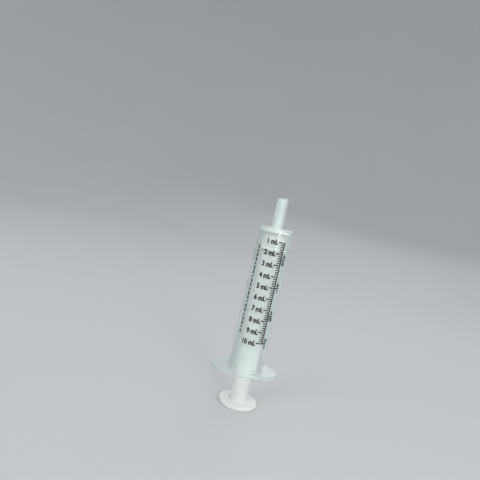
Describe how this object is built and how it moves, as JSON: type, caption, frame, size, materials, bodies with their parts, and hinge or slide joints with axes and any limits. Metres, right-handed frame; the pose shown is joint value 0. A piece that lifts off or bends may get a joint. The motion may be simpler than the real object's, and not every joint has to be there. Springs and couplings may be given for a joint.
{
  "type": "oral syringe",
  "caption": "Upright oral dosing syringe: translucent graduated barrel with oval finger flange, slip tip, hollow plunger rod with thumb disc and lipped piston seal.",
  "frame": {"origin": "middle of the thumb disc's underside, on the syringe's axis", "axes": "+Z along the axis to the tip; the finger flange is longest along X; the printed scale faces -Y"},
  "size_m": [0.034, 0.0208, 0.1066],
  "materials": {
    "barrel_plastic": "translucent natural polypropylene, smooth with a soft sheen",
    "rod_plastic": "white polyethylene, satin",
    "seal_plastic": "white soft sealing compound, satin",
    "ink": "black printing ink"
  },
  "bodies": {
    "barrel": {"barrel": "barrel_plastic", "printed_scale": "ink"},
    "seal": {"piston_seal": "seal_plastic"},
    "plunger": {"plunger_rod": "rod_plastic"}
  },
  "joints": [
    {"name": "plunger_slide", "type": "slide", "parent": "seal", "child": "barrel", "axis": [0, 0, 1], "range_m": [0, 0.06]},
    {"name": "plunger_turn", "type": "hinge", "parent": "plunger", "child": "seal", "pos_m": [0, 0, 0.04], "axis": [0, 0, 1], "continuous": true}
  ]
}
